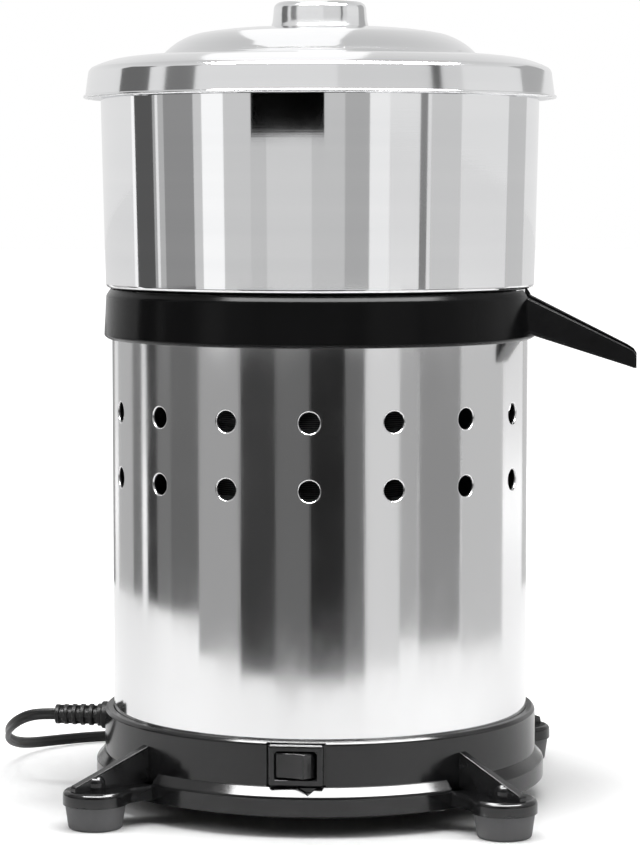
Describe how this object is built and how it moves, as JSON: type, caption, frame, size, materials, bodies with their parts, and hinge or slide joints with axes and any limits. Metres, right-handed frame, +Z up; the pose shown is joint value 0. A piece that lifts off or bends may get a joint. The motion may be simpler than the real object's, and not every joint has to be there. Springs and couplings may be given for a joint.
{
  "type": "citrus juicer",
  "caption": "Bench citrus juicer: steel motor body on a footed base, black juice tray with a pouring spout, aluminium bowl with strainer and fluted reamer, domed lid.",
  "frame": {"origin": "on the motor axis, at the plane that the four feet stand on", "axes": "+Z up along the motor axis, -Y towards the switch at the front, +X towards the spout"},
  "size_m": [0.3179, 0.3228, 0.382],
  "materials": {
    "base_plastic": "black moulded plastic, semi-gloss",
    "cover_plastic": "black moulded plastic",
    "screw_steel": "zinc plated steel",
    "foot_rubber": "dark grey rubber",
    "body_steel": "polished stainless steel",
    "switch_plastic": "black moulded plastic",
    "rocker_plastic": "black moulded plastic",
    "contact_brass": "bright brass",
    "relief_plastic": "black soft plastic",
    "cord_sheath": "black soft plastic sheath",
    "tie_plastic": "black hook and loop band",
    "plug_plastic": "black moulded plastic",
    "plate_steel": "pressed steel",
    "cast_aluminium": "die cast",
    "core_steel": "stacked steel sheets",
    "copper": "varnished copper wire",
    "bearing_steel": "ground steel",
    "capacitor_can": "drawn can",
    "tray_plastic": "black moulded plastic, satin",
    "seal_rubber": "black rubber",
    "shaft_steel": "ground steel",
    "fan_plastic": "black moulded plastic",
    "bowl_aluminium": "spun and polished",
    "strainer_aluminium": "pressed and polished",
    "reamer_plastic": "white food plastic",
    "lid_aluminium": "spun and polished",
    "knob_aluminium": "turned and polished"
  },
  "bodies": {
    "base": {"base_moulding": "base_plastic", "bottom_cover": "cover_plastic", "cover_screws": "screw_steel", "foot_screws": "screw_steel", "rubber_foot_front_left": "foot_rubber", "rubber_foot_front_right": "foot_rubber", "rubber_foot_rear_left": "foot_rubber", "rubber_foot_rear_right": "foot_rubber", "body_shell": "body_steel", "switch_housing": "switch_plastic", "switch_terminals": "contact_brass", "strain_relief": "relief_plastic", "cord_lead": "cord_sheath", "cord_coil": "cord_sheath", "cord_tail": "cord_sheath", "coil_tie": "tie_plastic", "plug_body": "plug_plastic", "plug_pins": "contact_brass", "motor_plate": "plate_steel", "body_bolts": "screw_steel", "plate_screws": "screw_steel", "tray_screws": "screw_steel", "upper_end_shield": "cast_aluminium", "lower_end_shield": "cast_aluminium", "motor_bolts": "screw_steel", "stator_core": "core_steel", "stator_windings": "copper", "lower_bearing_outer": "bearing_steel", "upper_bearing_outer": "bearing_steel", "run_capacitor": "capacitor_can", "juice_tray": "tray_plastic", "shaft_seal": "seal_rubber"},
    "rotor": {"motor_shaft": "shaft_steel", "rotor_core": "core_steel", "lower_bearing_inner": "bearing_steel", "upper_bearing_inner": "bearing_steel", "cooling_fan": "fan_plastic"},
    "bowl": {"bowl": "bowl_aluminium"},
    "strainer": {"strainer": "strainer_aluminium"},
    "reamer": {"reamer": "reamer_plastic"},
    "lid": {"lid": "lid_aluminium", "lid_knob": "knob_aluminium", "knob_screw": "screw_steel"},
    "rocker": {"switch_rocker": "rocker_plastic"}
  },
  "joints": [
    {"name": "rotor_spin", "type": "hinge", "parent": "base", "child": "rotor", "pos_m": [0, 0, 0.173], "axis": [0, 0, 1], "continuous": true},
    {"name": "bowl_lift", "type": "slide", "parent": "base", "child": "bowl", "axis": [0, 0, 1], "range_m": [0, 0.12]},
    {"name": "strainer_lift", "type": "slide", "parent": "bowl", "child": "strainer", "axis": [0, 0, 1], "range_m": [0, 0.12]},
    {"name": "reamer_spin", "type": "hinge", "parent": "strainer", "child": "reamer", "pos_m": [0, 0, 0.28], "axis": [0, 0, 1], "continuous": true},
    {"name": "lid_lift", "type": "slide", "parent": "strainer", "child": "lid", "axis": [0, 0, 1], "range_m": [0, 0.12]},
    {"name": "switch_rock", "type": "hinge", "parent": "base", "child": "rocker", "pos_m": [0, -0.1017, 0.0329], "axis": [0, 0, 1], "range_deg": [0, 22]}
  ],
  "couplings": [
    {"joint": "reamer_spin", "follows": "rotor_spin", "ratio": 1}
  ]
}
